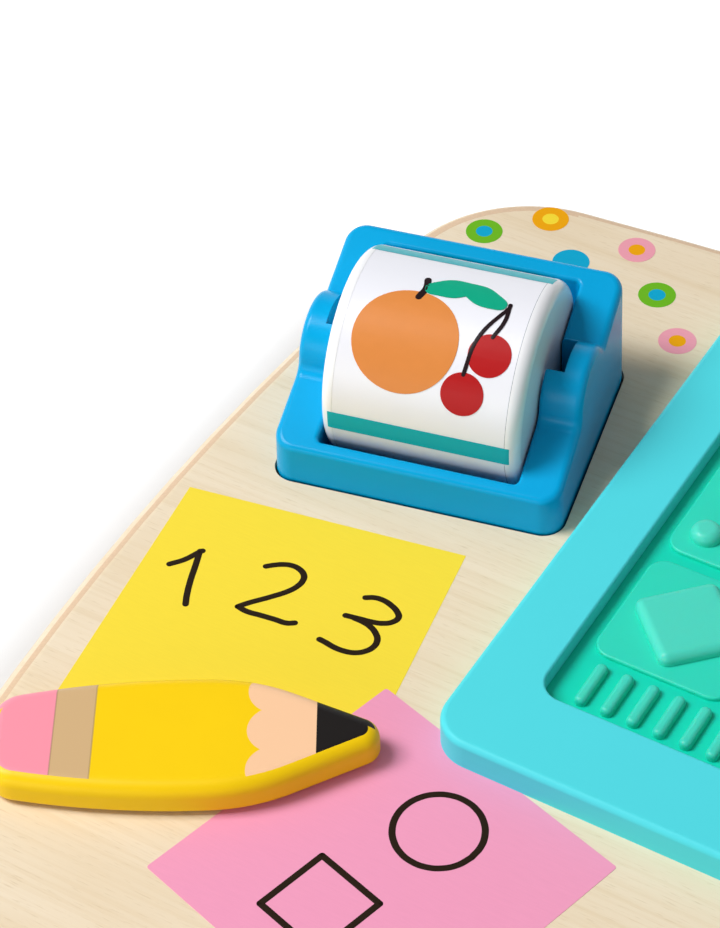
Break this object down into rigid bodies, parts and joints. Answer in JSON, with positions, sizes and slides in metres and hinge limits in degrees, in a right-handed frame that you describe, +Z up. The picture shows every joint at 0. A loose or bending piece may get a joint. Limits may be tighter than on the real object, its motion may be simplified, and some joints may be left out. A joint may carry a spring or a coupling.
{
  "type": "busy board",
  "caption": "Wooden baby activity board with a spinning picture roller, textured tablet, swivel pencil, clock with hands, sliding mouse and push keys.",
  "frame": {"origin": "middle of the board's outline, at the level of the feet's soles", "axes": "+X along the board's long side to the child's right, +Y away from the child, +Z up"},
  "size_m": [0.4046, 0.2664, 0.0551],
  "materials": {
    "plywood": "clear-coated birch ply with printed ink",
    "feet_rubber": "matt",
    "case_blue": "glossy",
    "tray_blue": "satin",
    "steel": "zinc plated",
    "drum_white": "glossy",
    "label_print": "glossy printed film",
    "frame_turquoise": "soft satin",
    "pad_green": "satin silicone",
    "pencil_yellow": "painted, satin",
    "washer_nylon": "matt",
    "dial_paint": "painted, satin",
    "hour_red": "glossy",
    "minute_blue": "glossy",
    "mouse_orange": "glossy",
    "guide_nylon": "matt",
    "keys_turquoise": "soft satin",
    "key_red": "glossy",
    "key_yellow": "glossy",
    "key_green": "glossy"
  },
  "bodies": {
    "base": {"board": "plywood", "rubber_feet": "feet_rubber", "roller_housing": "case_blue", "roller_tray": "tray_blue", "roller_screws": "steel", "roller_axle": "steel", "tablet_frame": "frame_turquoise", "tablet_pad": "pad_green", "tablet_screws": "steel", "pencil_washer": "washer_nylon", "clock_dial": "dial_paint", "clock_spindle": "steel", "clock_clip": "steel", "key_housing": "keys_turquoise", "key_spring_1": "steel", "key_spring_2": "steel", "key_spring_3": "steel", "key_screws": "steel"},
    "drum": {"roller_barrel": "drum_white", "roller_cap_left": "drum_white", "roller_cap_right": "drum_white", "roller_label": "label_print"},
    "pencil_set": {"pencil": "pencil_yellow", "pencil_pin": "steel"},
    "hour": {"hour_hand": "hour_red"},
    "minute": {"minute_hand": "minute_blue"},
    "mouse_set": {"mouse": "mouse_orange", "mouse_guide": "guide_nylon", "mouse_screw": "steel"},
    "key_1": {"key_cap_1": "key_red"},
    "key_2": {"key_cap_2": "key_yellow"},
    "key_3": {"key_cap_3": "key_green"}
  },
  "joints": [
    {"name": "roller_spin", "type": "hinge", "parent": "base", "child": "drum", "pos_m": [-0.15541, 0.04334, 0.032], "axis": [0.9779, 0.2089, 0], "continuous": true},
    {"name": "pencil_spin", "type": "hinge", "parent": "base", "child": "pencil_set", "pos_m": [-0.1536, -0.0653, 0.0156], "axis": [0, 0, 1], "continuous": true},
    {"name": "hour_hand_turn", "type": "hinge", "parent": "base", "child": "hour", "pos_m": [0.092, 0.05, 0.0193], "axis": [0, 0, 1], "continuous": true},
    {"name": "minute_hand_turn", "type": "hinge", "parent": "base", "child": "minute", "pos_m": [0.092, 0.05, 0.0226], "axis": [0, 0, 1], "continuous": true},
    {"name": "mouse_slide", "type": "slide", "parent": "base", "child": "mouse_set", "axis": [0, 1, 0], "range_m": [-0.022, 0.022]},
    {"name": "key_1_press", "type": "slide", "parent": "base", "child": "key_1", "axis": [0, 0, -1], "range_m": [0, 0.003], "stiffness_N_per_m": 400, "springref_m": -0.002, "deforming": ["key_spring_1"]},
    {"name": "key_2_press", "type": "slide", "parent": "base", "child": "key_2", "axis": [0, 0, -1], "range_m": [0, 0.003], "stiffness_N_per_m": 400, "springref_m": -0.002, "deforming": ["key_spring_2"]},
    {"name": "key_3_press", "type": "slide", "parent": "base", "child": "key_3", "axis": [0, 0, -1], "range_m": [0, 0.003], "stiffness_N_per_m": 400, "springref_m": -0.002, "deforming": ["key_spring_3"]}
  ]
}
